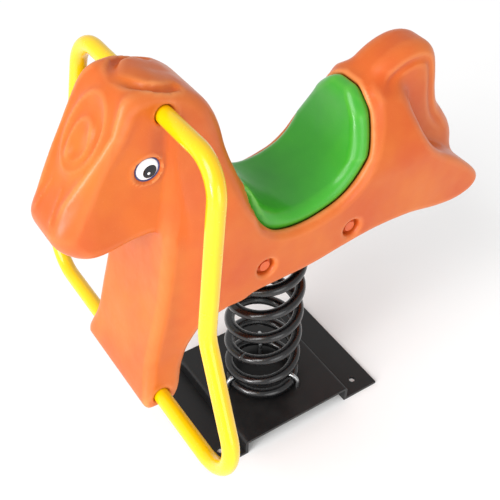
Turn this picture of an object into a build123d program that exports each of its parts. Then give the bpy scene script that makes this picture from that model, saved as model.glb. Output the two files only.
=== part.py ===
from build123d import *

import os
from math import cos, radians, sin

# Playground spring rider: a hollow moulded horse with a saddle insert, carried by a steel frame on one
# coil spring, with a bent tube on each side that is the hand grip at the top and the foot bar below.
# Millimetres. +Z is up and the horse faces -Y. The origin is on the spring's axis, at floor level.

# ---- driving dimensions -------------------------------------------------------------------------

# base plate, a folded hat section that stands on two foot flanges
PLATE_WIDTH = 252.0
PLATE_DECK_LENGTH = 240.0
PLATE_FOOT_LENGTH = 74.0
PLATE_TOP = 36.0
PLATE_THICKNESS = 6.0
PLATE_BEND_RADIUS = 8.0
ANCHOR_HOLE_DIAMETER = 13.0
ANCHOR_SPACING_X = 192.0
ANCHOR_SPACING_Y = 314.0

# coil spring
WIRE_DIAMETER = 20.0
COIL_MEAN_RADIUS = 64.0
END_PITCH = 4.0
ACTIVE_PITCH = 60.5
END_TURNS = 0.3
RAMP_TURNS = 0.6
COIL_START_ANGLE = -109.0
COIL_POINTS_PER_TURN = 16
COIL_HALVES_GAP = 0.0006

# clamps that hold the end coils to the plates
CLAMP_COUNT = 3
CLAMP_FIRST_TURN = 0.05
CLAMP_ROD_DIAMETER = 8.0
CLAMP_GAP = 0.7
CLAMP_THREAD_SPARE = 3.5
M8_NUT_ACROSS_FLATS = 13.0
M8_NUT_HEIGHT = 6.5
M8_WASHER_DIAMETER = 17.0
M8_WASHER_THICKNESS = 1.6
M8_CLEARANCE_HOLE = 9.0

# support frame, a folded channel inside the belly
FRAME_DECK_BOTTOM = 428.0
FRAME_THICKNESS = 5.0
FRAME_LENGTH = 244.0
FRAME_CENTRE_Y = 8.0
FRAME_TOP = 478.0

# horse body
WALL = 6.0
TORSO_HALF_WIDTH = 100.0
HEAD_HALF_WIDTH = 60.0
TAIL_HALF_WIDTH = 44.0
EDGE_RADIUS = 14.0
BELLY_HOLE_DIAMETER = 178.0
BELLY_HOLE_DEPTH = 60.0
FLOOR_LINE = 200.0
SHOULDER_LINE = 560.0
CROWN_LINE = 700.0
BODY_REACH = 600.0

# side bolts that fix the body to the support frame
SIDE_BOLT_PLACES = [(-73.0, 443.0), (98.0, 447.0)]
DIMPLE_DIAMETER = 34.0
DIMPLE_DEPTH = 10.0
M10_HEAD_DIAMETER = 19.0
M10_HEAD_HEIGHT = 5.5
M10_SHANK_DIAMETER = 10.0
M10_SHANK_LENGTH = 25.0
M10_CLEARANCE_HOLE = 11.0
M10_WASHER_DIAMETER = 25.0
M10_WASHER_THICKNESS = 2.0
M10_NUT_ACROSS_FLATS = 17.0
M10_NUT_HEIGHT = 8.0

# saddle insert
SEAT_HALF_WIDTH = 86.0
SEAT_SKIN = 5.0
SEAT_EDGE_RADIUS = 9.0
SEAT_PEG_DIAMETER = 12.0
SEAT_PEG_LENGTH = 34.0
SEAT_PEG_TOPS = [(-55.0, -18.0, 517.0), (55.0, -18.0, 517.0), (-55.0, 34.0, 522.0), (55.0, 34.0, 522.0)]

# side tubes: hand grip, upright and foot bar in one bend
TUBE_DIAMETER = 26.9
TUBE_WALL = 2.6
GRIP_Y = -218.0
GRIP_Z = 763.0
GRIP_CORNER_X = 194.0
KNEE = (214.0, -252.0, 493.0)
FOOT_BAR_Y = -273.0
FOOT_BAR_Z = 255.5
FOOT_CORNER_X = 345.0
GRIP_BEND = 56.0
KNEE_BEND = 70.0
FOOT_BEND = 66.0
TUBE_END_X = 1.0
SPIGOT_LENGTH = 90.0
SPIGOT_WALL = 3.0
SPIGOT_FIT = 0.15
TUBE_HOLE_GAP = 0.3
PIN_DIAMETER = 5.0
PIN_X = 30.0

# eyes
EYE_Y = -250.0
EYE_Z = 687.0
EYE_DIAMETER = 37.0
EYE_THICKNESS = 3.0
EYE_PROUD = 1.0
PUPIL_DIAMETER = 20.0
PUPIL_THICKNESS = 1.0
PUPIL_DROP = 4.0
PUPIL_BACK = 3.5
GLINT_DIAMETER = 5.0
GLINT_THICKNESS = 0.5
GLINT_BACK = 1.5
GLINT_DROP = 6.0

# ---- worked out from the driving dimensions -----------------------------------------------------

WIRE_RADIUS = WIRE_DIAMETER / 2
SPRING_BOTTOM = PLATE_TOP + WIRE_RADIUS
SPRING_TOP = FRAME_DECK_BOTTOM - WIRE_RADIUS
PITCH_GAIN = ACTIVE_PITCH - END_PITCH
HALF_TURNS = ((SPRING_TOP - SPRING_BOTTOM) / 2 + PITCH_GAIN * (END_TURNS + RAMP_TURNS / 2)) / ACTIVE_PITCH
TOTAL_TURNS = 2 * HALF_TURNS
CLAMP_ARCH_RADIUS = WIRE_RADIUS + CLAMP_ROD_DIAMETER / 2 + CLAMP_GAP
FRAME_HALF_WIDTH = TORSO_HALF_WIDTH - DIMPLE_DEPTH - WALL
SPIGOT_DIAMETER = TUBE_DIAMETER - 2 * TUBE_WALL - 2 * SPIGOT_FIT


# ---- helpers ------------------------------------------------------------------------------------

def save(name, *solids):
    """Write one node, which may be a group of separate identical pieces."""
    piece = solids[0] if len(solids) == 1 else Compound(children=list(solids))
    export_step(piece, os.path.join("parts", name + ".step"))


def side_plane(x):
    """Sketch plane seen from the horse's left: sketch x runs along +Y, sketch y along +Z."""
    return Plane(origin=(x, 0, 0), x_dir=(0, 1, 0), z_dir=(1, 0, 0))


def slab(face, half_width):
    """Extrude a side outline evenly to both sides of the middle plane."""
    return extrude(side_plane(0) * face, amount=half_width, both=True)


def bent_outline(corners):
    """Closed face whose straight sides are joined by tangent arcs."""
    points = [(y, z) for y, z, _ in corners]
    radii = [radius for _, _, radius in corners]
    return make_face(FilletPolyline(*points, radius=radii, close=True))


def rounded(body, radius):
    """Round the two rims of a slab, those that lie in its outer faces."""
    outer = body.faces().filter_by(Axis.X)
    return fillet(outer.edges(), radius)


def cylinder_x(diameter, x_from, x_to, y, z):
    """Round bar along X."""
    length = x_to - x_from
    place = Plane(origin=((x_from + x_to) / 2, y, z), z_dir=(1, 0, 0))
    return place * Cylinder(diameter / 2, abs(length))


def hex_nut(across_flats, height, hole):
    """Hexagon nut standing on the sketch plane."""
    outline = RegularPolygon(across_flats / 2, 6, major_radius=False) - Circle(hole / 2)
    return extrude(outline, amount=height)


def washer(diameter, thickness, hole):
    """Flat washer standing on the sketch plane."""
    return extrude(Circle(diameter / 2) - Circle(hole / 2), amount=thickness)


# ---- spring -------------------------------------------------------------------------------------

def rise(turn):
    """Height gained from the lower wire end after this many turns, valid for the lower half."""
    if turn <= END_TURNS:
        return END_PITCH * turn
    share = min((turn - END_TURNS) / RAMP_TURNS, 1.0)
    ramp = RAMP_TURNS * (share ** 3 - share ** 4 / 2)
    past = max(turn - END_TURNS - RAMP_TURNS, 0.0)
    return END_PITCH * turn + PITCH_GAIN * (ramp + past)


def wire_height(turn):
    """Height of the wire's centre; the upper half mirrors the lower half."""
    if turn <= HALF_TURNS:
        return SPRING_BOTTOM + rise(turn)
    return SPRING_TOP - rise(TOTAL_TURNS - turn)


def wire_angle(turn):
    return radians(COIL_START_ANGLE + 360.0 * turn)


def wire_point(turn, radius=COIL_MEAN_RADIUS):
    angle = wire_angle(turn)
    return Vector(radius * cos(angle), radius * sin(angle), wire_height(turn))


def coil(first_turn, last_turn):
    """Wire between two turns of the spring."""
    count = round((last_turn - first_turn) * COIL_POINTS_PER_TURN)
    step = (last_turn - first_turn) / count
    points = [wire_point(first_turn + i * step) for i in range(count + 1)]
    path = Spline(*points)
    section = Plane(origin=path @ 0, z_dir=path % 0) * Circle(WIRE_RADIUS)
    return sweep(section, path=path, is_frenet=True)


# ---- clamps -------------------------------------------------------------------------------------

def clamp_turns(at_top):
    """Turn numbers at which the clamps of one end coil sit."""
    spacing = [i / CLAMP_COUNT for i in range(CLAMP_COUNT)]
    if at_top:
        return [TOTAL_TURNS - CLAMP_FIRST_TURN - step for step in spacing]
    return [CLAMP_FIRST_TURN + step for step in spacing]


def clamp_rod(turn, end_z):
    """Threaded U-shaped rod over the wire, with both legs running to the height end_z."""
    angle = wire_angle(turn)
    height = wire_height(turn)
    over = CLAMP_ARCH_RADIUS if end_z < height else -CLAMP_ARCH_RADIUS
    outward = Vector(cos(angle), sin(angle), 0)
    inner = outward * (COIL_MEAN_RADIUS - CLAMP_ARCH_RADIUS)
    outer = outward * (COIL_MEAN_RADIUS + CLAMP_ARCH_RADIUS)
    crown = outward * COIL_MEAN_RADIUS + Vector(0, 0, height + over)
    first_leg = Line(inner + Vector(0, 0, end_z), inner + Vector(0, 0, height))
    arch = ThreePointArc(inner + Vector(0, 0, height), crown, outer + Vector(0, 0, height))
    second_leg = Line(outer + Vector(0, 0, height), outer + Vector(0, 0, end_z))
    section = Plane(origin=first_leg @ 0, z_dir=first_leg % 0) * Circle(CLAMP_ROD_DIAMETER / 2)
    return sweep(section, path=Wire([first_leg, arch, second_leg]))


def clamp_leg_places(at_top):
    """Plan positions of the clamp legs."""
    places = []
    for turn in clamp_turns(at_top):
        angle = wire_angle(turn)
        for radius in (COIL_MEAN_RADIUS - CLAMP_ARCH_RADIUS, COIL_MEAN_RADIUS + CLAMP_ARCH_RADIUS):
            places.append((radius * cos(angle), radius * sin(angle)))
    return places


def clamp_holes(at_top, z_from, z_to):
    """Drill through a plate for the clamp legs."""
    height = z_to - z_from
    drill = Cylinder(M8_CLEARANCE_HOLE / 2, height)
    return [Pos(x, y, (z_from + z_to) / 2) * drill for x, y in clamp_leg_places(at_top)]


# ---- base ---------------------------------------------------------------------------------------

def base_plate():
    half_deck = PLATE_DECK_LENGTH / 2
    half_length = half_deck + PLATE_FOOT_LENGTH
    top = PLATE_TOP
    thick = PLATE_THICKNESS
    outside = [
        (-half_length, 0), (-half_length, thick), (-half_deck, thick), (-half_deck, top),
        (half_deck, top), (half_deck, thick), (half_length, thick), (half_length, 0),
        (half_deck - thick, 0), (half_deck - thick, top - thick),
        (thick - half_deck, top - thick), (thick - half_deck, 0),
    ]
    body = slab(make_face(Polyline(*outside, close=True)), PLATE_WIDTH / 2)
    deck_edges = body.edges().filter_by(Axis.X).filter_by(
        lambda edge: abs(abs(edge.center().Y) - half_deck) < 0.1 and abs(edge.center().Z - top) < 0.1)
    body = fillet(deck_edges, PLATE_BEND_RADIUS)
    for drill in clamp_holes(False, top - 2 * thick, top + thick):
        body -= drill
    for x in (-ANCHOR_SPACING_X / 2, ANCHOR_SPACING_X / 2):
        for y in (-ANCHOR_SPACING_Y / 2, ANCHOR_SPACING_Y / 2):
            body -= Pos(x, y, thick / 2) * Cylinder(ANCHOR_HOLE_DIAMETER / 2, 2 * thick)
    return body


def lower_clamps():
    under = PLATE_TOP - PLATE_THICKNESS
    nut_top = under - M8_WASHER_THICKNESS
    nut_bottom = nut_top - M8_NUT_HEIGHT
    rods = [clamp_rod(turn, nut_bottom - CLAMP_THREAD_SPARE) for turn in clamp_turns(False)]
    ring = washer(M8_WASHER_DIAMETER, M8_WASHER_THICKNESS, M8_CLEARANCE_HOLE)
    nut = hex_nut(M8_NUT_ACROSS_FLATS, M8_NUT_HEIGHT, CLAMP_ROD_DIAMETER)
    places = clamp_leg_places(False)
    save("lower_clamp_rods", *rods)
    save("lower_clamp_washers", *[Pos(x, y, nut_top) * ring for x, y in places])
    save("lower_clamp_nuts", *[Pos(x, y, nut_bottom) * nut for x, y in places])


# ---- support frame ------------------------------------------------------------------------------

def support_frame():
    outer = FRAME_HALF_WIDTH
    inner = outer - FRAME_THICKNESS
    bottom = FRAME_DECK_BOTTOM
    deck = bottom + FRAME_THICKNESS
    section = [
        (-outer, FRAME_TOP), (-outer, bottom), (outer, bottom), (outer, FRAME_TOP),
        (inner, FRAME_TOP), (inner, deck), (-inner, deck), (-inner, FRAME_TOP),
    ]
    end_plane = Plane(origin=(0, FRAME_CENTRE_Y, 0), x_dir=(1, 0, 0), z_dir=(0, -1, 0))
    end_face = end_plane * make_face(Polyline(*section, close=True))
    body = extrude(end_face, amount=FRAME_LENGTH / 2, both=True)
    for drill in clamp_holes(True, bottom - FRAME_THICKNESS, deck + FRAME_THICKNESS):
        body -= drill
    for y, z in SIDE_BOLT_PLACES:
        body -= cylinder_x(M10_CLEARANCE_HOLE, -2 * outer, 2 * outer, y, z)
    return body


def upper_clamps():
    washer_bottom = FRAME_DECK_BOTTOM + FRAME_THICKNESS
    nut_bottom = washer_bottom + M8_WASHER_THICKNESS
    nut_top = nut_bottom + M8_NUT_HEIGHT
    rods = [clamp_rod(turn, nut_top + CLAMP_THREAD_SPARE) for turn in clamp_turns(True)]
    ring = washer(M8_WASHER_DIAMETER, M8_WASHER_THICKNESS, M8_CLEARANCE_HOLE)
    nut = hex_nut(M8_NUT_ACROSS_FLATS, M8_NUT_HEIGHT, CLAMP_ROD_DIAMETER)
    places = clamp_leg_places(True)
    save("upper_clamp_rods", *rods)
    save("upper_clamp_washers", *[Pos(x, y, washer_bottom) * ring for x, y in places])
    save("upper_clamp_nuts", *[Pos(x, y, nut_bottom) * nut for x, y in places])


# ---- horse body ---------------------------------------------------------------------------------

# side outlines as corners (y, z, bend radius)
CHEST_CORNERS = [
    (-251, 237, 17), (-303, 237, 17), (-257, 432, 90), (-232, 600, 90), (-222, 660, 20), (-121, 660, 30),
]
SEAT_CORNERS = [(-66, 492, 48), (118, 507, 80)]
SEAT_CORNERS_OUTSIDE = [
    (-95, 553, 10), (-73, 484, 54), (126, 499, 88), (140, 668, 10), (108, 668, 10), (96, 531, 56),
    (-49, 516, 24), (-70, 574, 10),
]
HIND_CORNERS = [
    (134, 690, 20), (206, 682, 30), (240, 580, 90), (292, 520, 60), (358, 486, 30), (388, 440, 17),
    (370, 405, 17), (272, 405, 200), (150, 418, 200), (-110, 398, 200), (-178, 395, 60),
    (-216, 338, 90),
]
HEAD_CORNERS = [
    (-391, 600, 26), (-302, 742, 120), (-268, 807, 24), (-198, 805, 50), (-140, 745, 70),
    (-112, 600, 30), (-150, 560, 30), (-240, 567, 90), (-306, 551, 90), (-374, 555, 26),
]
TAIL_CORNERS = [
    (105, 620, 20), (164, 704, 60), (288, 716, 50), (328, 600, 80), (390, 500, 60), (390, 430, 20),
    (220, 440, 30),
]


def torso_front_outline(inset):
    """Front view of chest and rump: upright sides that lean in above the saddle."""
    wide = TORSO_HALF_WIDTH - inset
    narrow = HEAD_HALF_WIDTH - inset
    half = [(wide, FLOOR_LINE), (wide, SHOULDER_LINE), (narrow, CROWN_LINE)]
    other = [(-x, z) for x, z in reversed(half)]
    return make_face(Polyline(*(half + other), close=True))


def horse(inset):
    """Outer form of the body, or with an inset the hollow inside it."""
    def block(corners, half_width):
        face = bent_outline(corners)
        if inset:
            face = offset(face, -inset)
        return rounded(slab(face, half_width - inset), EDGE_RADIUS - inset)

    torso = block(CHEST_CORNERS + SEAT_CORNERS + HIND_CORNERS, TORSO_HALF_WIDTH)
    front_plane = Plane(origin=(0, 0, 0), x_dir=(1, 0, 0), z_dir=(0, -1, 0))
    torso &= extrude(front_plane * torso_front_outline(inset), amount=BODY_REACH, both=True)
    head = block(HEAD_CORNERS, HEAD_HALF_WIDTH)
    tail = block(TAIL_CORNERS, TAIL_HALF_WIDTH)
    return torso + head + tail


def seat_pegs(diameter):
    """Moulded pegs that locate the saddle, or with a larger diameter their holes."""
    peg = Cylinder(diameter / 2, SEAT_PEG_LENGTH)
    return [Pos(x, y, top - SEAT_PEG_LENGTH / 2) * peg for x, y, top in SEAT_PEG_TOPS]


def body_hollow():
    """Space inside the walls, open at the belly, with a boss left standing behind each dimple."""
    hollow = horse(WALL)
    boss_face = TORSO_HALF_WIDTH - DIMPLE_DEPTH - WALL
    for side in (-1, 1):
        for y, z in SIDE_BOLT_PLACES:
            flank = side * TORSO_HALF_WIDTH
            hollow -= cylinder_x(DIMPLE_DIAMETER + 2 * WALL, side * boss_face, flank, y, z)
    opening = Cylinder(BELLY_HOLE_DIAMETER / 2, BELLY_HOLE_DEPTH)
    return hollow + Pos(0, 0, FRAME_DECK_BOTTOM - WALL) * opening


def body_shell(outer):
    shell = outer
    dimple_floor = TORSO_HALF_WIDTH - DIMPLE_DEPTH
    eye_floor = HEAD_HALF_WIDTH + EYE_PROUD - EYE_THICKNESS
    for side in (-1, 1):
        for y, z in SIDE_BOLT_PLACES:
            flank = side * (TORSO_HALF_WIDTH + WALL)
            shell -= cylinder_x(DIMPLE_DIAMETER, side * dimple_floor, flank, y, z)
            bolt_end = side * (dimple_floor + 1)
            shell -= cylinder_x(M10_CLEARANCE_HOLE, side * FRAME_HALF_WIDTH, bolt_end, y, z)
        cheek = side * (HEAD_HALF_WIDTH + WALL)
        shell -= cylinder_x(EYE_DIAMETER, side * eye_floor, cheek, EYE_Y, EYE_Z)
    tube_hole = TUBE_DIAMETER + 2 * TUBE_HOLE_GAP
    shell -= cylinder_x(tube_hole, -TORSO_HALF_WIDTH, TORSO_HALF_WIDTH, GRIP_Y, GRIP_Z)
    shell -= cylinder_x(tube_hole, -GRIP_CORNER_X, GRIP_CORNER_X, FOOT_BAR_Y, FOOT_BAR_Z)
    for hole in seat_pegs(SEAT_PEG_DIAMETER + 2 * TUBE_HOLE_GAP):
        shell -= hole
    return shell - body_hollow()


def seat(outer):
    """Open-bottomed moulded skin that sits on the body and is located by pegs."""
    band = bent_outline(SEAT_CORNERS_OUTSIDE)
    skin = rounded(slab(band, SEAT_HALF_WIDTH), SEAT_EDGE_RADIUS)
    skin -= slab(offset(band, -SEAT_SKIN), SEAT_HALF_WIDTH - SEAT_SKIN)
    skin -= outer
    for peg in seat_pegs(SEAT_PEG_DIAMETER):
        skin += peg
    return skin


# ---- side bolts ---------------------------------------------------------------------------------

def side_bolts():
    bolts, washers, nuts = [], [], []
    seat_x = TORSO_HALF_WIDTH - DIMPLE_DEPTH
    head_x = seat_x + M10_WASHER_THICKNESS
    nut_x = FRAME_HALF_WIDTH - FRAME_THICKNESS
    ring = washer(M10_WASHER_DIAMETER, M10_WASHER_THICKNESS, M10_CLEARANCE_HOLE)
    nut = hex_nut(M10_NUT_ACROSS_FLATS, M10_NUT_HEIGHT, M10_SHANK_DIAMETER)
    for side in (-1, 1):
        for y, z in SIDE_BOLT_PLACES:
            head = cylinder_x(M10_HEAD_DIAMETER, side * head_x, side * (head_x + M10_HEAD_HEIGHT), y, z)
            shank = cylinder_x(M10_SHANK_DIAMETER, side * (head_x - M10_SHANK_LENGTH), side * head_x, y, z)
            bolts.append(head + shank)
            outward = Plane(origin=(side * seat_x, y, z), z_dir=(side, 0, 0))
            washers.append(outward * ring)
            inward = Plane(origin=(side * nut_x, y, z), z_dir=(-side, 0, 0))
            nuts.append(inward * nut)
    save("side_bolts", *bolts)
    save("side_bolt_washers", *washers)
    save("side_bolt_nuts", *nuts)


# ---- side tubes ---------------------------------------------------------------------------------

def side_tube(side):
    """One bent tube: grip bar, knee and foot bar."""
    knee_x, knee_y, knee_z = KNEE
    corners = [
        (side * TUBE_END_X, GRIP_Y, GRIP_Z), (side * GRIP_CORNER_X, GRIP_Y, GRIP_Z),
        (side * knee_x, knee_y, knee_z), (side * FOOT_CORNER_X, FOOT_BAR_Y, FOOT_BAR_Z),
        (side * TUBE_END_X, FOOT_BAR_Y, FOOT_BAR_Z),
    ]
    path = FilletPolyline(*corners, radius=[GRIP_BEND, KNEE_BEND, FOOT_BEND])
    start = Plane(origin=corners[0], z_dir=(side, 0, 0))
    solid = sweep(start * Circle(TUBE_DIAMETER / 2), path=path)
    bore = sweep(start * Circle(TUBE_DIAMETER / 2 - TUBE_WALL), path=path)
    tube = solid - bore
    for pin in tube_pins():
        tube -= pin
    return tube


def tube_pins():
    """Spring pins that lock the tube ends on the spigots."""
    pin = Cylinder(PIN_DIAMETER / 2, TUBE_DIAMETER)
    bars = [(GRIP_Y, GRIP_Z), (FOOT_BAR_Y, FOOT_BAR_Z)]
    return [Pos(x, y, z) * pin for y, z in bars for x in (-PIN_X, PIN_X)]


def spigot(y, z):
    """Inner sleeve that joins the left and right tube ends inside the body."""
    half = SPIGOT_LENGTH / 2
    sleeve = cylinder_x(SPIGOT_DIAMETER, -half, half, y, z)
    sleeve -= cylinder_x(SPIGOT_DIAMETER - 2 * SPIGOT_WALL, -half, half, y, z)
    for pin in tube_pins():
        sleeve -= pin
    return sleeve


# ---- eyes ---------------------------------------------------------------------------------------

def eyes():
    white_x = HEAD_HALF_WIDTH + EYE_PROUD - EYE_THICKNESS
    pupil_x = white_x + EYE_THICKNESS
    glint_x = pupil_x + PUPIL_THICKNESS
    pupil_y, pupil_z = EYE_Y + PUPIL_BACK, EYE_Z - PUPIL_DROP
    glint_y, glint_z = pupil_y - GLINT_BACK, EYE_Z - GLINT_DROP
    for side, name in ((1, "left"), (-1, "right")):
        save("eye_" + name, cylinder_x(EYE_DIAMETER, side * white_x, side * pupil_x, EYE_Y, EYE_Z))
        save("pupil_" + name, cylinder_x(PUPIL_DIAMETER, side * pupil_x, side * glint_x, pupil_y, pupil_z))
        glint = (side * glint_x, side * (glint_x + GLINT_THICKNESS))
        save("eye_glint_" + name, cylinder_x(GLINT_DIAMETER, *glint, glint_y, glint_z))


# ---- all nodes ----------------------------------------------------------------------------------

os.makedirs("parts", exist_ok=True)

save("base_plate", base_plate())
lower_clamps()
save("coil_spring_lower", coil(0, HALF_TURNS - COIL_HALVES_GAP))
save("coil_spring_upper", coil(HALF_TURNS + COIL_HALVES_GAP, TOTAL_TURNS))
upper_clamps()
save("support_frame", support_frame())

horse_form = horse(0)
save("body_shell", body_shell(horse_form))
save("seat", seat(horse_form))
side_bolts()

save("side_tube_left", side_tube(1))
save("side_tube_right", side_tube(-1))
save("grip_spigot", spigot(GRIP_Y, GRIP_Z))
save("foot_spigot", spigot(FOOT_BAR_Y, FOOT_BAR_Z))
save("tube_pins", *tube_pins())
eyes()
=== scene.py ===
"""Spring rider shaped as a horse: moulded body, saddle, bent side tubes, coil spring and base plate.

Shapes are worked out in millimetres and turned into metres when a mesh is made.
"""
import math

import bpy
import numpy as np
from mathutils import Matrix, Vector


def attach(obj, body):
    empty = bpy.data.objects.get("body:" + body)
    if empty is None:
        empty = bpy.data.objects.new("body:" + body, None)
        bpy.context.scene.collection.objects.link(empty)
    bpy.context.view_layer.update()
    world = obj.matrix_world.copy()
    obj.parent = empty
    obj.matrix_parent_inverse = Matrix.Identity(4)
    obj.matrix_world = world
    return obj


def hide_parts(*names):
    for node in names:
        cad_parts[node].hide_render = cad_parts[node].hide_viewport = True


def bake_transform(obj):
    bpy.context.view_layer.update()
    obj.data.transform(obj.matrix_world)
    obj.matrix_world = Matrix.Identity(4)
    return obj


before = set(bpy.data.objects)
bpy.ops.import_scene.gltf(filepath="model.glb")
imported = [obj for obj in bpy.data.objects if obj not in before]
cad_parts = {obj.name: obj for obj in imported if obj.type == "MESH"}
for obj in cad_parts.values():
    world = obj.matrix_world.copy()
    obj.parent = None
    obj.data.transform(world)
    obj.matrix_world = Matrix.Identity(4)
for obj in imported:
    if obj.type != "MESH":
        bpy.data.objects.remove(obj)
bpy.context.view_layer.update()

MM = 0.001

# ---- camera -------------------------------------------------------------------------------------

CAMERA_PLACE = (0.9426, -0.6867, 1.4454)
CAMERA_AZIMUTH = 56.03
CAMERA_ELEVATION = 42.51
CAMERA_ROLL = 0.99
CAMERA_LENS = 65.41
CAMERA_SHIFT = (0.016, -0.0106)


def make_camera():
    azimuth = math.radians(CAMERA_AZIMUTH)
    elevation = math.radians(CAMERA_ELEVATION)
    roll = math.radians(CAMERA_ROLL)
    back = Vector((math.sin(azimuth) * math.cos(elevation),
                   -math.cos(azimuth) * math.cos(elevation),
                   math.sin(elevation)))
    level = Vector((math.cos(azimuth), math.sin(azimuth), 0))
    upright = back.cross(level)
    right = math.cos(roll) * level + math.sin(roll) * upright
    up = math.cos(roll) * upright - math.sin(roll) * level
    data = bpy.data.cameras.new("camera")
    data.sensor_width = 36
    data.lens = CAMERA_LENS
    data.shift_x, data.shift_y = CAMERA_SHIFT
    data.clip_end = 50
    camera = bpy.data.objects.new("camera", data)
    turn = Matrix((right, up, back)).transposed().to_4x4()
    camera.matrix_world = Matrix.Translation(CAMERA_PLACE) @ turn
    bpy.context.scene.collection.objects.link(camera)
    bpy.context.scene.camera = camera


make_camera()

# ---- materials ----------------------------------------------------------------------------------


def srgb(red, green, blue):
    """Linear colour of a screen colour given in steps of 0 to 255."""
    """Linear colour of an 8-bit screen colour."""
    def linear(value):
        value /= 255
        return value / 12.92 if value <= 0.04045 else ((value + 0.055) / 1.055) ** 2.4
    return (linear(red), linear(green), linear(blue), 1)


class Nodes:
    """A material and short ways to add and join its nodes."""

    def __init__(self, name):
        self.material = bpy.data.materials.new(name)
        self.material.use_nodes = True
        self.tree = self.material.node_tree
        self.shader = self.tree.nodes["Principled BSDF"]
        self.place = self.tree.nodes.new("ShaderNodeTexCoord").outputs["Object"]

    def put(self, socket, value):
        """Set a socket to a constant, or link another node's output to it."""
        if isinstance(value, bpy.types.NodeSocket):
            self.tree.links.new(value, socket)
        else:
            socket.default_value = value

    def noise(self, scale, detail=2.0, roughness=0.5):
        node = self.tree.nodes.new("ShaderNodeTexNoise")
        node.inputs["Scale"].default_value = scale
        node.inputs["Detail"].default_value = detail
        node.inputs["Roughness"].default_value = roughness
        self.tree.links.new(self.place, node.inputs["Vector"])
        return node.outputs["Fac"]

    def ramp(self, factor, low, high, to_low=0.0, to_high=1.0):
        """Carry low..high over to to_low..to_high, held at both ends."""
        node = self.tree.nodes.new("ShaderNodeMapRange")
        self.tree.links.new(factor, node.inputs["Value"])
        node.inputs["From Min"].default_value = low
        node.inputs["From Max"].default_value = high
        node.inputs["To Min"].default_value = to_low
        node.inputs["To Max"].default_value = to_high
        return node.outputs["Result"]

    def mix(self, factor, first, second):
        node = self.tree.nodes.new("ShaderNodeMix")
        node.data_type = "RGBA"
        self.put(node.inputs["Factor"], factor)
        self.put(node.inputs["A"], first)
        self.put(node.inputs["B"], second)
        return node.outputs["Result"]

    def bump(self, height, distance, normal=None):
        node = self.tree.nodes.new("ShaderNodeBump")
        node.inputs["Distance"].default_value = distance
        node.inputs["Strength"].default_value = 1.0
        self.tree.links.new(height, node.inputs["Height"])
        if normal:
            self.tree.links.new(normal, node.inputs["Normal"])
        return node.outputs["Normal"]

    def pointiness(self):
        node = self.tree.nodes.new("ShaderNodeNewGeometry")
        return node.outputs["Pointiness"]

    def facing_up(self):
        node = self.tree.nodes.new("ShaderNodeNewGeometry")
        split = self.tree.nodes.new("ShaderNodeSeparateXYZ")
        self.tree.links.new(node.outputs["Normal"], split.inputs["Vector"])
        return split.outputs["Z"]


def moulded_plastic(name, base, deep, pale, roughness, coat):
    """Moulded polyethylene: cloudy colour, painted highlight on sharp edges, painted shade in hollows,
    faint orange-peel skin and slow waves.
    """
    made = Nodes(name)
    cloud = made.ramp(made.noise(7, 3, 0.55), 0.35, 0.68)
    colour = made.mix(cloud, base, deep)
    # painted highlight: sharp outer edges are mixed towards the pale colour
    edge_highlight = made.ramp(made.pointiness(), 0.505, 0.56)
    colour = made.mix(edge_highlight, colour, pale)
    # painted shade: hollows and creases are mixed towards the deep colour
    hollow_shade = made.ramp(made.pointiness(), 0.49, 0.43)
    colour = made.mix(hollow_shade, colour, deep)
    flecks = made.ramp(made.noise(420, 1, 0.5), 0.66, 0.80, 0.0, 0.18)
    colour = made.mix(flecks, colour, pale)
    made.put(made.shader.inputs["Base Color"], colour)
    wear = made.noise(34, 4, 0.6)
    made.put(made.shader.inputs["Roughness"],
             made.ramp(wear, 0.3, 0.75, roughness - 0.05, roughness + 0.09))
    made.put(made.shader.inputs["Coat Weight"], coat)
    made.put(made.shader.inputs["Coat Roughness"], 0.2)
    made.put(made.shader.inputs["Specular IOR Level"], 0.33)
    waves = made.bump(made.noise(26, 2, 0.4), 0.0011)
    skin = made.bump(made.noise(520, 2, 0.5), 0.00010, waves)
    made.put(made.shader.inputs["Normal"], skin)
    return made.material


def gloss_paint(name, base, shade, roughness, coat, peel, chips=None):
    """Powder coat or enamel on steel: slight shade drift, orange peel, and a few worn spots."""
    made = Nodes(name)
    drift = made.ramp(made.noise(11, 3, 0.5), 0.35, 0.7)
    colour = made.mix(drift, base, shade)
    if chips:
        spots = made.ramp(made.noise(150, 3, 0.6), 0.70, 0.74)
        colour = made.mix(spots, colour, chips)
    made.put(made.shader.inputs["Base Color"], colour)
    haze = made.noise(60, 3, 0.6)
    made.put(made.shader.inputs["Roughness"],
             made.ramp(haze, 0.3, 0.75, roughness - 0.04, roughness + 0.08))
    made.put(made.shader.inputs["Coat Weight"], coat)
    made.put(made.shader.inputs["Coat Roughness"], 0.08)
    made.put(made.shader.inputs["Normal"], made.bump(made.noise(430, 2, 0.5), peel))
    return made.material


def bare_steel(name, base, dull):
    """Zinc-plated steel: mottled plating with fine drawn lines."""
    made = Nodes(name)
    mottle = made.ramp(made.noise(240, 3, 0.6), 0.35, 0.65)
    made.put(made.shader.inputs["Base Color"], made.mix(mottle, base, dull))
    made.put(made.shader.inputs["Metallic"], 1.0)
    made.put(made.shader.inputs["Roughness"], made.ramp(mottle, 0, 1, 0.24, 0.42))
    made.put(made.shader.inputs["Normal"], made.bump(made.noise(900, 2, 0.5), 0.00006))
    return made.material


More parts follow.
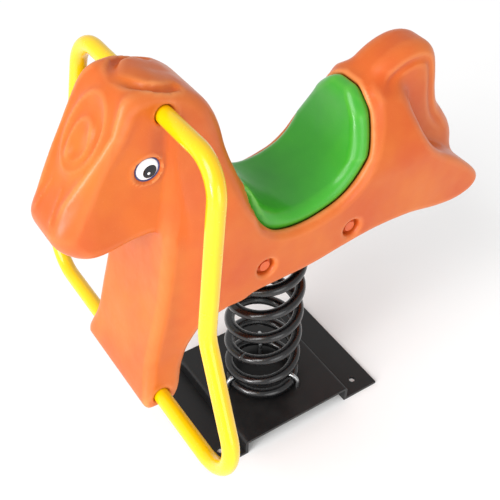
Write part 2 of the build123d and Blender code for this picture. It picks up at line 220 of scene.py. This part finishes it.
def dusty_paint(name, base, dust):
    """Black satin paint with fine texture and dust where it faces up."""
    made = Nodes(name)
    cloud = made.ramp(made.noise(19, 5, 0.65), 0.45, 0.72)
    level = made.ramp(made.facing_up(), 0.6, 1.0)
    both = made.tree.nodes.new("ShaderNodeMath")
    both.operation = "MULTIPLY"
    made.put(both.inputs[0], cloud)
    made.put(both.inputs[1], level)
    amount = made.ramp(both.outputs[0], 0.0, 1.0, 0.0, 0.35)
    made.put(made.shader.inputs["Base Color"], made.mix(amount, base, dust))
    made.put(made.shader.inputs["Roughness"], made.ramp(cloud, 0, 1, 0.42, 0.62))
    made.put(made.shader.inputs["Normal"], made.bump(made.noise(600, 3, 0.6), 0.00012))
    return made.material


LOOKS = {
    "horse_plastic": moulded_plastic("horse_plastic", srgb(210, 108, 36), srgb(200, 86, 28),
                                     srgb(228, 140, 80), 0.38, 0.10),
    "seat_plastic": moulded_plastic("seat_plastic", srgb(60, 168, 36), srgb(46, 150, 34),
                                    srgb(112, 190, 70), 0.34, 0.35),
    "tube_paint": gloss_paint("tube_paint", srgb(246, 203, 0), srgb(240, 192, 0), 0.22, 0.25, 0.00008),
    "spring_paint": gloss_paint("spring_paint", srgb(11, 11, 13), srgb(7, 7, 9), 0.26, 0.4,
                                0.00014, srgb(42, 40, 40)),
    "plate_paint": dusty_paint("plate_paint", srgb(10, 10, 11), srgb(34, 33, 31)),
    "zinc_steel": bare_steel("zinc_steel", srgb(205, 207, 208), srgb(160, 162, 162)),
    "bolt_paint": gloss_paint("bolt_paint", srgb(224, 98, 34), srgb(206, 80, 26), 0.34, 0.1, 0.0001),
    "eye_white": gloss_paint("eye_white", srgb(245, 245, 246), srgb(232, 232, 236), 0.2, 0.5, 0.00003),
    "eye_black": gloss_paint("eye_black", srgb(8, 9, 20), srgb(4, 4, 10), 0.12, 0.0, 0.00003),
    "eye_rim": gloss_paint("eye_rim_blue", srgb(46, 50, 110), srgb(36, 38, 90), 0.25, 0.4, 0.00003),
}

# ---- mesh helpers -------------------------------------------------------------------------------


def new_piece(name, points, faces, look, body="rider"):
    """A smooth mesh piece from points in millimetres, on a body unless none is given."""
    mesh = bpy.data.meshes.new(name)
    mesh.from_pydata(np.asarray(points, float) * MM, [], faces)
    mesh.validate()
    mesh.update()
    mesh.shade_smooth()
    piece = bpy.data.objects.new(name, mesh)
    bpy.context.scene.collection.objects.link(piece)
    mesh.materials.append(LOOKS[look])
    if body:
        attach(piece, body)
    return piece


def smooth_curve(points, steps=6):
    """Closed curve through the points."""
    points = np.array(points, float)
    before = np.roll(points, 1, 0)
    after = np.roll(points, -1, 0)
    beyond = np.roll(points, -2, 0)
    curve = []
    for step in range(steps):
        t = step / steps
        curve.append(0.5 * (2 * points + (after - before) * t
                            + (2 * before - 5 * points + 4 * after - beyond) * t ** 2
                            + (3 * points - before - 3 * after + beyond) * t ** 3))
    return np.stack(curve, 1).reshape(-1, 2)


class Outline:
    """Signed distance to a closed side outline, negative inside, read from a fine grid."""

    STEP = 2.0
    LOW = np.array((-430.0, 205.0))
    COUNT = (441, 321)

    def __init__(self, corners):
        curve = smooth_curve(corners)
        y, z = np.meshgrid(*[self.LOW[i] + self.STEP * np.arange(self.COUNT[i]) for i in (0, 1)],
                           indexing="ij")
        nearest = np.full(y.shape, 1e9)
        inside = np.zeros(y.shape, bool)
        for start, end in zip(curve, np.roll(curve, -1, 0)):
            along = end - start
            share = ((y - start[0]) * along[0] + (z - start[1]) * along[1]) / (along @ along)
            share = np.clip(share, 0, 1)
            gap = (y - start[0] - share * along[0]) ** 2 + (z - start[1] - share * along[1]) ** 2
            nearest = np.minimum(nearest, gap)
            if start[1] != end[1]:
                crosses = (start[1] > z) != (end[1] > z)
                inside ^= crosses & (y < start[0] + (z - start[1]) * along[0] / along[1])
        self.field = np.where(inside, -1, 1) * np.sqrt(nearest)

    def __call__(self, y, z):
        column = np.clip((y - self.LOW[0]) / self.STEP, 0, self.COUNT[0] - 1.001)
        row = np.clip((z - self.LOW[1]) / self.STEP, 0, self.COUNT[1] - 1.001)
        i = column.astype(int)
        j = row.astype(int)
        u = column - i
        v = row - j
        low = self.field[i, j] * (1 - u) + self.field[i + 1, j] * u
        high = self.field[i, j + 1] * (1 - u) + self.field[i + 1, j + 1] * u
        return low * (1 - v) + high * v


def join(first, second, spread):
    """Union of two distances with a soft fillet."""
    share = np.clip(0.5 + 0.5 * (second - first) / spread, 0, 1)
    return second * (1 - share) + first * share - spread * share * (1 - share)


def cut(first, second, spread):
    """The first shape with the second taken away, its rim softened."""
    return -join(-first, second, spread)


def slab(side, across, half_width, rim):
    """Distance to a side outline given a thickness, with its rims rounded."""
    outside = side + rim
    beyond = across - half_width + rim
    corner = np.hypot(np.maximum(outside, 0), np.maximum(beyond, 0))
    return np.minimum(np.maximum(outside, beyond), 0) + corner - rim


def ease(value, start, end):
    """Smooth step from 0 at start to 1 at end."""
    t = np.clip((value - start) / (end - start), 0, 1)
    return t * t * (3 - 2 * t)


def bell(value, middle, width):
    """Bump of height 1 at the middle."""
    return np.exp(-((value - middle) / width) ** 2)


def tube_distance(points, x, y, z):
    """Distance to a run of straight lines."""
    nearest = np.full(np.shape(x), 1e9)
    for start, end in zip(points, points[1:]):
        a = np.array(start, float)
        b = np.array(end, float) - a
        share = ((x - a[0]) * b[0] + (y - a[1]) * b[1] + (z - a[2]) * b[2]) / (b @ b)
        share = np.clip(share, 0, 1)
        gap = np.sqrt((x - a[0] - share * b[0]) ** 2 + (y - a[1] - share * b[1]) ** 2
                      + (z - a[2] - share * b[2]) ** 2)
        nearest = np.minimum(nearest, gap)
    return nearest


def skin_of(distance, low, high, step):
    """Quads over the zero surface of a distance, with the points settled on it."""
    axes = [np.arange(low[i], high[i] + step, step) for i in range(3)]
    grid = np.meshgrid(*axes, indexing="ij")
    values = distance(*grid)
    shape = values.shape
    inside = values < 0
    total = np.zeros(tuple(n - 1 for n in shape) + (3,))
    count = np.zeros(tuple(n - 1 for n in shape))
    for axis in range(3):
        for side_a in (0, 1):
            for side_b in (0, 1):
                first = [None] * 3
                others = [i for i in range(3) if i != axis]
                first[axis] = slice(0, shape[axis] - 1)
                for other, side in zip(others, (side_a, side_b)):
                    first[other] = slice(side, shape[other] - 1 + side)
                second = list(first)
                second[axis] = slice(1, shape[axis])
                f0 = values[tuple(first)]
                f1 = values[tuple(second)]
                crosses = (f0 < 0) != (f1 < 0)
                share = np.where(crosses, f0 / np.where(crosses, f0 - f1, 1), 0)
                for other, side in zip(others, (side_a, side_b)):
                    total[..., other] += crosses * side
                total[..., axis] += crosses * share
                count += crosses
    used = count > 0
    number = np.full(used.shape, -1)
    number[used] = np.arange(used.sum())
    cells = np.argwhere(used)
    points = np.array([a[0] for a in axes]) + step * (cells + total[used] / count[used][:, None])
    faces = []
    for axis in range(3):
        b, c = (axis + 1) % 3, (axis + 2) % 3
        first = [slice(None)] * 3
        second = [slice(None)] * 3
        first[axis] = slice(0, shape[axis] - 1)
        second[axis] = slice(1, shape[axis])
        crosses = inside[tuple(first)] != inside[tuple(second)]
        for place in np.argwhere(crosses):
            if place[b] == 0 or place[c] == 0:
                continue
            corners = []
            for db, dc in ((0, 0), (1, 0), (1, 1), (0, 1)):
                cell = place.copy()
                cell[b] -= db
                cell[c] -= dc
                corners.append(number[tuple(cell)])
            if inside[tuple(place)]:
                corners.reverse()
            faces.append(corners)
    faces = np.array(faces)[:, ::-1]
    for _ in range(3):
        points = settle(distance, points, step)
    return points, faces


def settle(distance, points, step):
    """Move points onto the zero surface along its slope."""
    reach = 0.8
    here = distance(*points.T)
    slope = np.empty_like(points)
    for axis in range(3):
        shift = np.zeros(3)
        shift[axis] = reach
        slope[:, axis] = (distance(*(points + shift).T) - distance(*(points - shift).T)) / (2 * reach)
    size = np.maximum((slope ** 2).sum(1), 0.2)
    move = slope * (here / size)[:, None]
    length = np.linalg.norm(move, axis=1, keepdims=True)
    return points - move * np.minimum(1, 0.7 * step / np.maximum(length, 1e-9))


# ---- horse body ---------------------------------------------------------------------------------

# side outlines through points (y, z)
COLUMN = Outline([(-305, 258), (-303, 243), (-294, 236), (-262, 235), (-250, 240), (-240, 258),
                  (-224, 300), (-206, 345), (-180, 384), (-150, 398), (-110, 400), (-100, 470),
                  (-100, 540), (-106, 590), (-118, 630), (-128, 670), (-137, 712), (-165, 745),
                  (-210, 740), (-228, 690), (-236, 602), (-246, 520), (-259, 440), (-277, 368),
                  (-293, 304)])
TORSO = Outline([(-176, 394), (-130, 395), (-81, 397), (12, 400), (80, 410), (150, 418), (226, 416),
                 (290, 404), (336, 400), (370, 407), (387, 421), (389, 439), (372, 461), (341, 488),
                 (311, 509), (286, 526), (265, 546), (247, 574), (236, 608), (229, 638), (214, 657),
                 (188, 664), (164, 666), (152, 650), (148, 612), (138, 577), (120, 550), (100, 526),
                 (72, 507), (42, 498), (12, 493), (-20, 493), (-55, 504), (-82, 530), (-100, 560),
                 (-130, 570), (-180, 500), (-200, 440)])
HEAD = Outline([(-391, 600), (-388, 618), (-372, 643), (-347, 681), (-320, 720), (-298, 754),
                (-280, 783), (-266, 798), (-248, 803), (-225, 802), (-204, 795), (-176, 780),
                (-155, 758), (-144, 732), (-138, 706), (-133, 680), (-127, 650), (-118, 620),
                (-120, 580), (-160, 560), (-200, 562), (-238, 567), (-262, 567), (-306, 558),
                (-338, 554), (-362, 560), (-382, 578)])
TAIL = Outline([(140, 640), (160, 664), (184, 687), (214, 703), (244, 710), (270, 708), (291, 698),
                (305, 680), (313, 650), (320, 610), (330, 578), (350, 550), (370, 520), (380, 492),
                (382, 462), (372, 440), (330, 436), (270, 450), (210, 500), (160, 580)])
SEAT_BAND = Outline([(-93, 598), (-106, 598), (-110, 576), (-98, 538), (-80, 508), (-54, 489),
                     (-15, 481), (20, 481), (60, 490), (94, 506), (122, 534), (141, 568),
                     (151, 602), (156, 632), (155, 652), (146, 664), (130, 662), (122, 645),
                     (118, 612), (108, 580), (93, 553), (71, 532), (40, 520), (12, 516),
                     (-14, 518), (-40, 529), (-64, 551), (-81, 580)])
SEAT_GAP = 2.0
SEAT_HALF_WIDTH = 86
SEAT_RIM = 20
HEAD_HALF_WIDTH = 61
TAIL_HALF_WIDTH = 44
TAIL_RIM = 31

# line of the face from the muzzle to the crown, and how far out the brow ridges run along it
FACE_START = (-383.0, 605.0)
FACE_ALONG = (0.521, 0.854)
RIDGE_ALONG = (0, 50, 110, 146, 176, 200, 225)
RIDGE_ACROSS = (34, 36, 50, 58, 63, 59, 50)
SWIRL_MIDDLE = 4

EYE = (-250.0, 687.0)
EYE_RECESS_RADIUS = 21
EYE_RECESS_FLOOR = 59.4
EYE_RING_RADIUS = 23.5

# sockets of the tubes: place (y, z) and how near the middle plane they reach
TUBE_SOCKETS = (((-218.0, 763.0), 46), ((-273.0, 255.5), 84))
TUBE_SOCKET_RADIUS = 14.5
BOLT_PLACES = ((-73.0, 443.0), (98.0, 447.0))
BOLT_DIMPLE_RADIUS = 16
BOLT_DIMPLE_FLOOR = 90
BELLY_HOLE_RADIUS = 89
BELLY_HOLE_TOP = 446

# lines (across, y, z) of the furrow below the mane and of the bulge behind it
MANE_GROOVE = ((-6, -264, 808), (12, -256, 808), (27, -247, 803), (39, -237, 799), (45, -224, 796),
               (46, -208, 792), (43, -192, 788))
MANE_BULGE = ((0, -222, 800), (14, -206, 796), (16, -182, 784))


def trunk_width(y, z):
    """Half width of column and torso: the flanks lean in towards the neck and the haunches."""
    chest = 104 - 12 * ease(-y, 160, 240) * ease(z, 250, 330) - 43 * ease(z, 545, 715)
    haunch = 105 - 54 * ease(z, 530, 700)
    return chest + (haunch - chest) * ease(y, -90, 60)


def seat_distance(x, y, z):
    across = np.abs(x)
    half = np.minimum(SEAT_HALF_WIDTH, trunk_width(y, z) - 12 - 12 * ease(z, 628, 664))
    # the front corners of the saddle are rounded as seen from the side
    front = -112 + 30 * np.clip((across - 46) / 40, 0, 1) ** 2
    side = np.maximum(SEAT_BAND(y, z), front - y)
    return slab(side, across, half, SEAT_RIM)


def along_face(y, z):
    """Distance up the line of the face from the muzzle."""
    return (y - FACE_START[0]) * FACE_ALONG[0] + (z - FACE_START[1]) * FACE_ALONG[1]


def face_relief(x, y, z):
    """How far the swirls and the brow ridges stand out of the front of the head."""
    across = np.abs(x)
    t = along_face(y, z)
    outer = np.hypot((x - SWIRL_MIDDLE) / 40, (t - 150) / 58)
    inner = np.hypot((x - SWIRL_MIDDLE) / 22, (t - 138) / 31)
    swirls = 3.6 * bell(outer, 1.0, 0.15) + 3.4 * bell(inner, 1.0, 0.26)
    swirls = swirls + 3.2 * bell(np.hypot((x - 16) / 9, (t - 152) / 17), 0, 1)
    swirls = swirls + 3.2 * bell(np.hypot((x + 8) / 9, (t - 118) / 20), 0, 1)
    ridge = np.interp(t, RIDGE_ALONG, RIDGE_ACROSS)
    brow = 4.5 * bell(across, ridge, 8) * ease(t, 5, 60) * (1 - ease(t, 210, 240))
    nostril = 1.6 * bell(across, 26 - 0.17 * t, 3) * ease(t, 6, 20) * (1 - ease(t, 58, 76))
    front = ease(-y - 0.61 * (800 - z), 236, 262)
    return (swirls * (1 - ease(across, 44, 56)) + brow + nostril) * front


def horse_distance(x, y, z):
    """The whole moulded body: trunk, head and tail joined, then its relief and its openings."""
    across = np.abs(x)
    side = join(COLUMN(y, z), TORSO(y, z), 26)
    rim = 12 + 6 * ease(-y, 200, 240) - 9 * ease(-z, -300, -250) + 12 * ease(z, 560, 640)
    trunk = slab(side, across, trunk_width(y, z), rim)
    t = along_face(y, z)
    cheek = HEAD_HALF_WIDTH + 5 * bell(t, 185, 42) * ease(-y, 215, 250) - 6 * ease(-y, 330, 392)
    cheek = cheek + 16 * ease(y, -300, -190) * (1 - ease(z, 590, 690))
    skull = slab(HEAD(y, z), across, cheek, 18 + 12 * ease(-y, 300, 380))
    body = join(trunk, skull, 8 + 34 * ease(y, -246, -200))
    tail_side = TAIL(y, z)
    tail = slab(tail_side, across, TAIL_HALF_WIDTH, TAIL_RIM)
    tail = tail + 5.0 * bell(tail_side, -26, 6) * ease(across, 18, 34) * ease(z, 500, 560)
    body = join(body, tail, 16)
    # mane bulge and the furrow under it
    groove = tube_distance(MANE_GROOVE, across, y, z)
    body = body - 3.0 * bell(tube_distance(MANE_BULGE, across, y, z), 0, 24)
    body = cut(body, groove - 5.5, 9)
    body = body - face_relief(x, y, z)
    # recess and raised ring round each eye
    from_eye = np.hypot(y - EYE[0], z - EYE[1])
    body = cut(body, np.maximum(from_eye - EYE_RECESS_RADIUS, EYE_RECESS_FLOOR - across), 3)
    body = body - 2.2 * bell(from_eye, EYE_RING_RADIUS, 2.8) * ease(across, 40, 52)
    # sockets of the tubes
    for place, depth in TUBE_SOCKETS:
        radius = np.hypot(y - place[0], z - place[1])
        socket = np.maximum(radius - TUBE_SOCKET_RADIUS, depth - across)
        body = cut(body, socket, 7)
    # bolt dimples
    for place in BOLT_PLACES:
        radius = np.hypot(y - place[0], z - place[1])
        body = cut(body, np.maximum(radius - BOLT_DIMPLE_RADIUS, BOLT_DIMPLE_FLOOR - across), 9)
    # opening in the belly
    body = cut(body, np.maximum(np.hypot(x, y) - BELLY_HOLE_RADIUS, z - BELLY_HOLE_TOP), 4)
    # recess and lip of the saddle
    seat_gap = seat_distance(x, y, z)
    body = body - 3.2 * bell(seat_gap, 8, 6.5) * ease(z, 470, 485)
    return cut(body, seat_gap - SEAT_GAP, 3)


HORSE_STEP = 4.4
HORSE_BOX = ((-112, -402, 226), (112, 398, 822))
points, faces = skin_of(horse_distance, *HORSE_BOX, HORSE_STEP)
horse = new_piece("horse_body", points, faces.tolist(), "horse_plastic")
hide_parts("body_shell")

SADDLE_STEP = 3.2
SADDLE_BOX = ((-95, -124, 474), (95, 166, 676))
points, faces = skin_of(seat_distance, *SADDLE_BOX, SADDLE_STEP)
saddle = new_piece("saddle", points, faces.tolist(), "seat_plastic")
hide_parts("seat")

# ---- coil spring --------------------------------------------------------------------------------

WIRE_RADIUS = 10.0
COIL_RADIUS = 64.0
WIRE_LOW = 46.0
WIRE_HIGH = 418.0
END_PITCH = 4.0
ACTIVE_PITCH = 60.5
END_TURNS = 0.3
RAMP_TURNS = 0.6
HALF_TURNS = 3.6347
COIL_START = math.radians(-109)
POINTS_AROUND_WIRE = 20
RINGS_PER_TURN = 84


def coil_rise(turns):
    """Height of the wire above its end after a number of turns: closed end, ramp, then full pitch."""
    share = np.clip((turns - END_TURNS) / RAMP_TURNS, 0, 1)
    ramp = RAMP_TURNS * (share ** 3 - share ** 4 / 2)
    full = np.maximum(turns - END_TURNS - RAMP_TURNS, 0)
    return END_PITCH * turns + (ACTIVE_PITCH - END_PITCH) * (ramp + full)


def coil_height(turns):
    return np.where(turns <= HALF_TURNS, WIRE_LOW + coil_rise(turns),
                    WIRE_HIGH - coil_rise(2 * HALF_TURNS - turns))


def coil_piece(name, first, last):
    """A length of the wire between two turn numbers, closed at both ends."""
    around = POINTS_AROUND_WIRE
    count = int((last - first) * RINGS_PER_TURN)
    turns = np.linspace(first, last, count)
    angle = COIL_START + 2 * math.pi * turns
    centre = np.stack((COIL_RADIUS * np.cos(angle), COIL_RADIUS * np.sin(angle),
                       coil_height(turns)), 1)
    delta = 1e-4
    angle_after = angle + 2 * math.pi * delta
    ahead = np.stack((COIL_RADIUS * np.cos(angle_after), COIL_RADIUS * np.sin(angle_after),
                      coil_height(turns + delta)), 1) - centre
    ahead /= np.linalg.norm(ahead, axis=1, keepdims=True)
    outward = np.stack((np.cos(angle), np.sin(angle), 0 * angle), 1)
    upward = np.cross(outward, ahead)
    turn = np.linspace(0, 2 * math.pi, around, endpoint=False)
    ring = (np.cos(turn)[None, :, None] * outward[:, None]
            + np.sin(turn)[None, :, None] * upward[:, None])
    points = (centre[:, None] + WIRE_RADIUS * ring).reshape(-1, 3)
    faces = []
    for i in range(count - 1):
        for j in range(around):
            k = (j + 1) % around
            faces.append((i * around + j, i * around + k, (i + 1) * around + k, (i + 1) * around + j))
    faces.append(tuple(range(around))[::-1])
    faces.append(tuple((count - 1) * around + j for j in range(around)))
    return new_piece(name, points, faces, "spring_paint", body=None)


def turn_at(height):
    """Number of turns at which the wire's centre reaches a height."""
    turns = np.linspace(0, 2 * HALF_TURNS, 4000)
    return float(np.interp(height, coil_height(turns), turns))


# heights at which the visual spring is divided; its ends stay in the clamps past the last two heights
FOOT_TOP = 140.0
HEAD_START = 300.0
CLAMPED_BELOW = 58
CLAMPED_ABOVE = 406

# name, first and last turn, bodies below and above, low and high heights
coils = [
    ("spring_foot_coils", 0.0, turn_at(FOOT_TOP), "base", "spring_foot", CLAMPED_BELOW, FOOT_TOP - 4),
    ("spring_middle_coils", turn_at(FOOT_TOP), turn_at(HEAD_START), "spring_foot", "spring_head",
     FOOT_TOP + 6, HEAD_START - 6),
    ("spring_head_coils", turn_at(HEAD_START), 2 * HALF_TURNS, "spring_head", "rider",
     HEAD_START + 4, CLAMPED_ABOVE),
]
for name, first, last, below, above, start, end in coils:
    piece = coil_piece(name, first, last)
    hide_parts("coil_spring_lower", "coil_spring_upper")
    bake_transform(piece)

# ---- eyes ---------------------------------------------------------------------------------------


POINTS_AROUND_EYE = 48


def turned(name, look, centre, start, profile, side, nodes=()):
    """A round piece on the side of the head: profile of (radius, height) turned about the x axis."""
    around = POINTS_AROUND_EYE
    points = []
    faces = []
    for radius, height in profile:
        for j in range(around):
            angle = 2 * math.pi * j / around
            points.append((side * (start + height), centre[0] + radius * math.cos(angle),
                           centre[1] + radius * math.sin(angle)))
    for i in range(len(profile) - 1):
        for j in range(around):
            k = (j + 1) % around
            quad = (i * around + j, i * around + k, (i + 1) * around + k, (i + 1) * around + j)
            faces.append(quad if side > 0 else quad[::-1])
    bottom = tuple(range(around))
    top = tuple((len(profile) - 1) * around + j for j in range(around))
    faces.append(bottom[::-1] if side > 0 else bottom)
    faces.append(top if side > 0 else top[::-1])
    piece = new_piece(name, points, faces, look)
    if nodes:
        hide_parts(*nodes)
    return piece


def dome(radius, base, height, rings=8):
    """Profile of a shallow dome with a rounded rim, from its back face to its crown."""
    profile = [(radius * 0.6, base - 4), (radius * 0.985, base - 3.5), (radius, base)]
    for i in range(1, rings + 1):
        share = i / rings
        profile.append((radius * math.cos(share * math.pi / 2 * 0.97),
                        base + height * math.sin(share * math.pi / 2)))
    return profile


PUPIL = (-247.0, 683.0)
GLINT = (-248.5, 680.5)
EYE_FACE = 60
PUPIL_FACE = 61
GLINT_FACE = 62.4
RIM_RADIUS = 18.4
RIM_THICKNESS = 1.3
RIM_ROOT = -3.0
for side, word in ((1, "left"), (-1, "right")):
    turned(f"eye_{word}_white", "eye_white", EYE, EYE_FACE, dome(17.8, 0.3, 2.0), side,
           [f"eye_{word}"])
    ring = [(RIM_RADIUS + RIM_THICKNESS * math.cos(a), 0.6 + RIM_THICKNESS * math.sin(a))
            for a in np.linspace(0, math.pi, 9)]
    ring.insert(0, (RIM_RADIUS + RIM_THICKNESS, RIM_ROOT))
    ring.append((RIM_RADIUS - RIM_THICKNESS, RIM_ROOT))
    turned(f"eye_{word}_rim", "eye_rim", EYE, EYE_FACE, ring, side)
    turned(f"eye_{word}_pupil", "eye_black", PUPIL, PUPIL_FACE, dome(11.0, 0.6, 1.3), side,
           [f"pupil_{word}"])
    turned(f"eye_{word}_glint", "eye_white", GLINT, GLINT_FACE, dome(2.4, 0.2, 0.7), side,
           [f"eye_glint_{word}"])

# ---- looks of the CAD nodes that stay -----------------------------------------------------------

NODE_LOOKS = {
    "base_plate": "plate_paint", "support_frame": "plate_paint",
    "lower_clamp_rods": "zinc_steel", "lower_clamp_washers": "zinc_steel",
    "lower_clamp_nuts": "zinc_steel", "upper_clamp_rods": "zinc_steel",
    "upper_clamp_washers": "zinc_steel", "upper_clamp_nuts": "zinc_steel",
    "side_bolts": "bolt_paint", "side_bolt_washers": "bolt_paint", "side_bolt_nuts": "zinc_steel",
    "side_tube_left": "tube_paint", "side_tube_right": "tube_paint",
    "grip_spigot": "zinc_steel", "foot_spigot": "zinc_steel", "tube_pins": "zinc_steel",
}
for node, look in NODE_LOOKS.items():
    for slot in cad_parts[node].material_slots:
        slot.material = LOOKS[look]

# ---- floor and light ----------------------------------------------------------------------------


FLOOR_HALF = 30.0
WORLD_STRENGTH = 0.66


def make_floor():
    half = FLOOR_HALF
    mesh = bpy.data.meshes.new("floor")
    mesh.from_pydata([(-half, -half, 0), (half, -half, 0), (half, half, 0), (-half, half, 0)], [],
                     [(0, 1, 2, 3)])
    floor = bpy.data.objects.new("floor", mesh)
    made = Nodes("floor")
    made.put(made.shader.inputs["Base Color"],
             made.mix(made.noise(3, 2), (0.93, 0.93, 0.93, 1), (0.96, 0.96, 0.96, 1)))
    made.put(made.shader.inputs["Roughness"], 0.9)
    made.put(made.shader.inputs["Specular IOR Level"], 0.1)
    mesh.materials.append(made.material)
    bpy.context.scene.collection.objects.link(floor)


def soft_light(name, place, target, size, power):
    """A round area light in metres and watts, aimed at a target."""
    data = bpy.data.lights.new(name, "AREA")
    data.shape = "DISK"
    data.size = size
    data.energy = power
    light = bpy.data.objects.new(name, data)
    light.location = place
    light.rotation_euler = (Vector(target) - Vector(place)).to_track_quat("-Z", "Y").to_euler()
    bpy.context.scene.collection.objects.link(light)


def sun_light(name, direction, power, spread):
    """An even light from a direction, its shadows softened by a spread in degrees."""
    data = bpy.data.lights.new(name, "SUN")
    data.energy = power
    data.angle = math.radians(spread)
    light = bpy.data.objects.new(name, data)
    light.rotation_euler = Vector(direction).to_track_quat("Z", "Y").to_euler()
    bpy.context.scene.collection.objects.link(light)


def make_world():
    world = bpy.data.worlds.new("studio")
    world.use_nodes = True
    sky = world.node_tree.nodes["Background"]
    sky.inputs["Color"].default_value = (1, 1, 1, 1)
    sky.inputs["Strength"].default_value = WORLD_STRENGTH
    bpy.context.scene.world = world


make_floor()
make_world()
MIDDLE = (0, 0, 0.45)
sun_light("key", (0.3, -1.0, 0.72), 2.2, 40)
soft_light("front", (0.75, -2.6, 0.75), MIDDLE, 0.7, 24)
soft_light("fill", (2.6, -0.3, 0.9), MIDDLE, 1.6, 16)

scene = bpy.context.scene
scene.view_settings.view_transform = "Standard"
